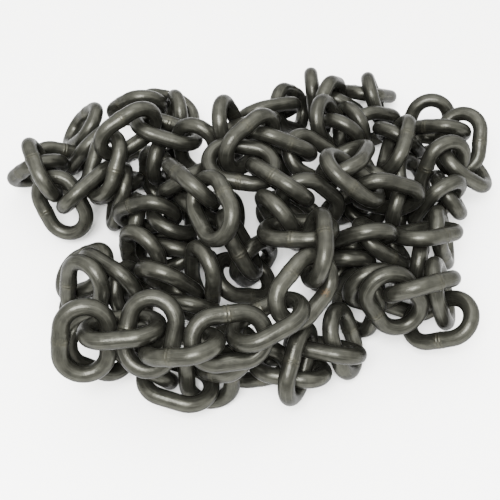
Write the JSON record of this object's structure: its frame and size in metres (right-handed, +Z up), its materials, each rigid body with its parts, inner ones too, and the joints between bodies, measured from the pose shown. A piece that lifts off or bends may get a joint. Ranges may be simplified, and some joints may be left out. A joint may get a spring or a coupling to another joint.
{
  "type": "heap of chain",
  "caption": "Loose heap of welded short-link steel chain in dark self-coloured bar, links threaded through each other and piled in a low mound.",
  "frame": {"origin": "on the floor, under the middle of the heap's box", "axes": "+X to the right and +Y away as the picture shows the heap, +Z up"},
  "size_m": [0.3332, 0.2748, 0.0947],
  "materials": {
    "left_loop_1_steel": "dark self-coloured mill finish, satin, lightly oiled",
    "left_loop_2_steel": "dark self-coloured mill finish, satin, lightly oiled",
    "left_loop_3_steel": "dark self-coloured mill finish, satin, lightly oiled",
    "left_loop_4_steel": "dark self-coloured mill finish, satin, lightly oiled",
    "back_left_steel": "dark self-coloured mill finish, satin, lightly oiled",
    "top_run_1_steel": "dark self-coloured mill finish, satin, lightly oiled",
    "top_run_2_steel": "dark self-coloured mill finish, satin, lightly oiled",
    "top_run_3_steel": "dark self-coloured mill finish, satin, lightly oiled",
    "top_post_steel": "dark self-coloured mill finish, satin, lightly oiled",
    "top_right_1_steel": "dark self-coloured mill finish, satin, lightly oiled",
    "top_right_2_steel": "dark self-coloured mill finish, satin, lightly oiled",
    "front_run_1_steel": "dark self-coloured mill finish, satin, lightly oiled",
    "front_run_2_steel": "dark self-coloured mill finish, satin, lightly oiled",
    "front_run_3_steel": "dark self-coloured mill finish, satin, lightly oiled",
    "front_run_4_steel": "dark self-coloured mill finish, satin, lightly oiled",
    "left_middle_steel": "dark self-coloured mill finish, satin, lightly oiled",
    "left_inner_steel": "dark self-coloured mill finish, satin, lightly oiled",
    "front_low_1_steel": "dark self-coloured mill finish, satin, lightly oiled",
    "front_low_2_steel": "dark self-coloured mill finish, satin, lightly oiled",
    "front_low_3_steel": "dark self-coloured mill finish, satin, lightly oiled",
    "front_edge_1_steel": "dark self-coloured mill finish, satin, lightly oiled",
    "front_edge_2_steel": "dark self-coloured mill finish, satin, lightly oiled",
    "front_edge_3_steel": "dark self-coloured mill finish, satin, lightly oiled",
    "right_end_1_steel": "dark self-coloured mill finish, satin, lightly oiled",
    "right_end_2_steel": "dark self-coloured mill finish, satin, lightly oiled",
    "right_side_1_steel": "dark self-coloured mill finish, satin, lightly oiled",
    "right_side_2_steel": "dark self-coloured mill finish, satin, lightly oiled",
    "right_corner_steel": "dark self-coloured mill finish, satin, lightly oiled",
    "right_inner_steel": "dark self-coloured mill finish, satin, lightly oiled",
    "right_fold_steel": "dark self-coloured mill finish, satin, lightly oiled",
    "middle_right_steel": "dark self-coloured mill finish, satin, lightly oiled",
    "middle_left_steel": "dark self-coloured mill finish, satin, lightly oiled",
    "inner_left_steel": "dark self-coloured mill finish, satin, lightly oiled",
    "inner_low_left_steel": "dark self-coloured mill finish, satin, lightly oiled",
    "middle_low_steel": "dark self-coloured mill finish, satin, lightly oiled",
    "low_left_steel": "dark self-coloured mill finish, satin, lightly oiled",
    "low_left_front_steel": "dark self-coloured mill finish, satin, lightly oiled",
    "low_middle_steel": "dark self-coloured mill finish, satin, lightly oiled",
    "back_right_edge_steel": "dark self-coloured mill finish, satin, lightly oiled",
    "back_right_low_steel": "dark self-coloured mill finish, satin, lightly oiled",
    "back_right_inner_steel": "dark self-coloured mill finish, satin, lightly oiled",
    "back_right_under_steel": "dark self-coloured mill finish, satin, lightly oiled",
    "back_right_outer_steel": "dark self-coloured mill finish, satin, lightly oiled",
    "back_right_tall_steel": "dark self-coloured mill finish, satin, lightly oiled",
    "back_right_floor_steel": "dark self-coloured mill finish, satin, lightly oiled",
    "back_middle_steel": "dark self-coloured mill finish, satin, lightly oiled",
    "deep_middle_steel": "dark self-coloured mill finish, satin, lightly oiled",
    "deep_right_steel": "dark self-coloured mill finish, satin, lightly oiled",
    "left_back_steel": "dark self-coloured mill finish, satin, lightly oiled",
    "left_under_steel": "dark self-coloured mill finish, satin, lightly oiled",
    "back_right_deep_steel": "dark self-coloured mill finish, satin, lightly oiled",
    "right_deep_steel": "dark self-coloured mill finish, satin, lightly oiled",
    "right_low_steel": "dark self-coloured mill finish, satin, lightly oiled",
    "front_deep_steel": "dark self-coloured mill finish, satin, lightly oiled",
    "left_thin_steel": "dark self-coloured mill finish, satin, lightly oiled",
    "left_deep_steel": "dark self-coloured mill finish, satin, lightly oiled",
    "left_post_steel": "dark self-coloured mill finish, satin, lightly oiled",
    "left_floor_steel": "dark self-coloured mill finish, satin, lightly oiled",
    "inner_floor_steel": "dark self-coloured mill finish, satin, lightly oiled",
    "middle_floor_steel": "dark self-coloured mill finish, satin, lightly oiled"
  },
  "bodies": {
    "root": {"left_loop_1": "left_loop_1_steel", "left_loop_2": "left_loop_2_steel", "left_loop_3": "left_loop_3_steel", "left_loop_4": "left_loop_4_steel", "back_left": "back_left_steel", "top_run_1": "top_run_1_steel", "top_run_2": "top_run_2_steel", "top_run_3": "top_run_3_steel", "top_post": "top_post_steel", "top_right_1": "top_right_1_steel", "top_right_2": "top_right_2_steel", "front_run_1": "front_run_1_steel", "front_run_2": "front_run_2_steel", "front_run_3": "front_run_3_steel", "front_run_4": "front_run_4_steel", "left_middle": "left_middle_steel", "left_inner": "left_inner_steel", "front_low_1": "front_low_1_steel", "front_low_2": "front_low_2_steel", "front_low_3": "front_low_3_steel", "front_edge_1": "front_edge_1_steel", "front_edge_2": "front_edge_2_steel", "front_edge_3": "front_edge_3_steel", "right_end_1": "right_end_1_steel", "right_end_2": "right_end_2_steel", "right_side_1": "right_side_1_steel", "right_side_2": "right_side_2_steel", "right_corner": "right_corner_steel", "right_inner": "right_inner_steel", "right_fold": "right_fold_steel", "middle_right": "middle_right_steel", "middle_left": "middle_left_steel", "inner_left": "inner_left_steel", "inner_low_left": "inner_low_left_steel", "middle_low": "middle_low_steel", "low_left": "low_left_steel", "low_left_front": "low_left_front_steel", "low_middle": "low_middle_steel", "back_right_edge": "back_right_edge_steel", "back_right_low": "back_right_low_steel", "back_right_inner": "back_right_inner_steel", "back_right_under": "back_right_under_steel", "back_right_outer": "back_right_outer_steel", "back_right_tall": "back_right_tall_steel", "back_right_floor": "back_right_floor_steel", "back_middle": "back_middle_steel", "deep_middle": "deep_middle_steel", "deep_right": "deep_right_steel", "left_back": "left_back_steel", "left_under": "left_under_steel", "back_right_deep": "back_right_deep_steel", "right_deep": "right_deep_steel", "right_low": "right_low_steel", "front_deep": "front_deep_steel", "left_thin": "left_thin_steel", "left_deep": "left_deep_steel", "left_post": "left_post_steel", "left_floor": "left_floor_steel", "inner_floor": "inner_floor_steel", "middle_floor": "middle_floor_steel"}
  },
  "joints": []
}
